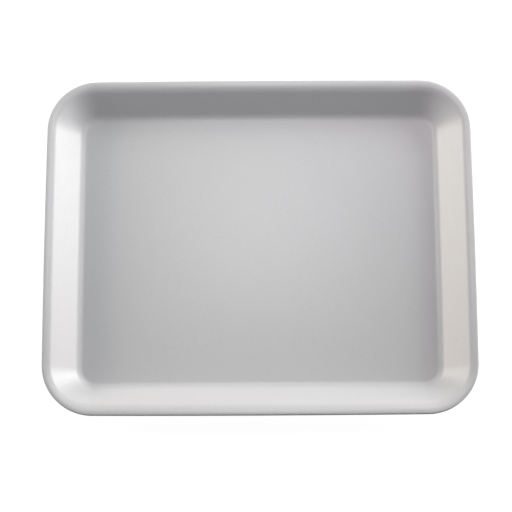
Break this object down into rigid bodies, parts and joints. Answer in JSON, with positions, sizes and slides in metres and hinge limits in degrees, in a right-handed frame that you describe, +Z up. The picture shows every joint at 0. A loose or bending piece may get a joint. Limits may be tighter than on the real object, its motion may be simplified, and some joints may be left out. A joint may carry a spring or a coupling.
{
  "type": "food tray",
  "caption": "Shallow rectangular foam food tray with a flat floor, sloping walls, rounded corners and a narrow turned-out lip.",
  "frame": {"origin": "under the middle of the flat base, on the surface that the tray stands on", "axes": "+X along the long side, +Y along the short side towards the back of the picture, +Z up out of the open top"},
  "size_m": [0.2546, 0.2026, 0.017],
  "materials": {
    "foam": "thermoformed expanded polystyrene foam sheet with a smooth satin skin"
  },
  "bodies": {
    "root": {"tray": "foam"}
  },
  "joints": []
}
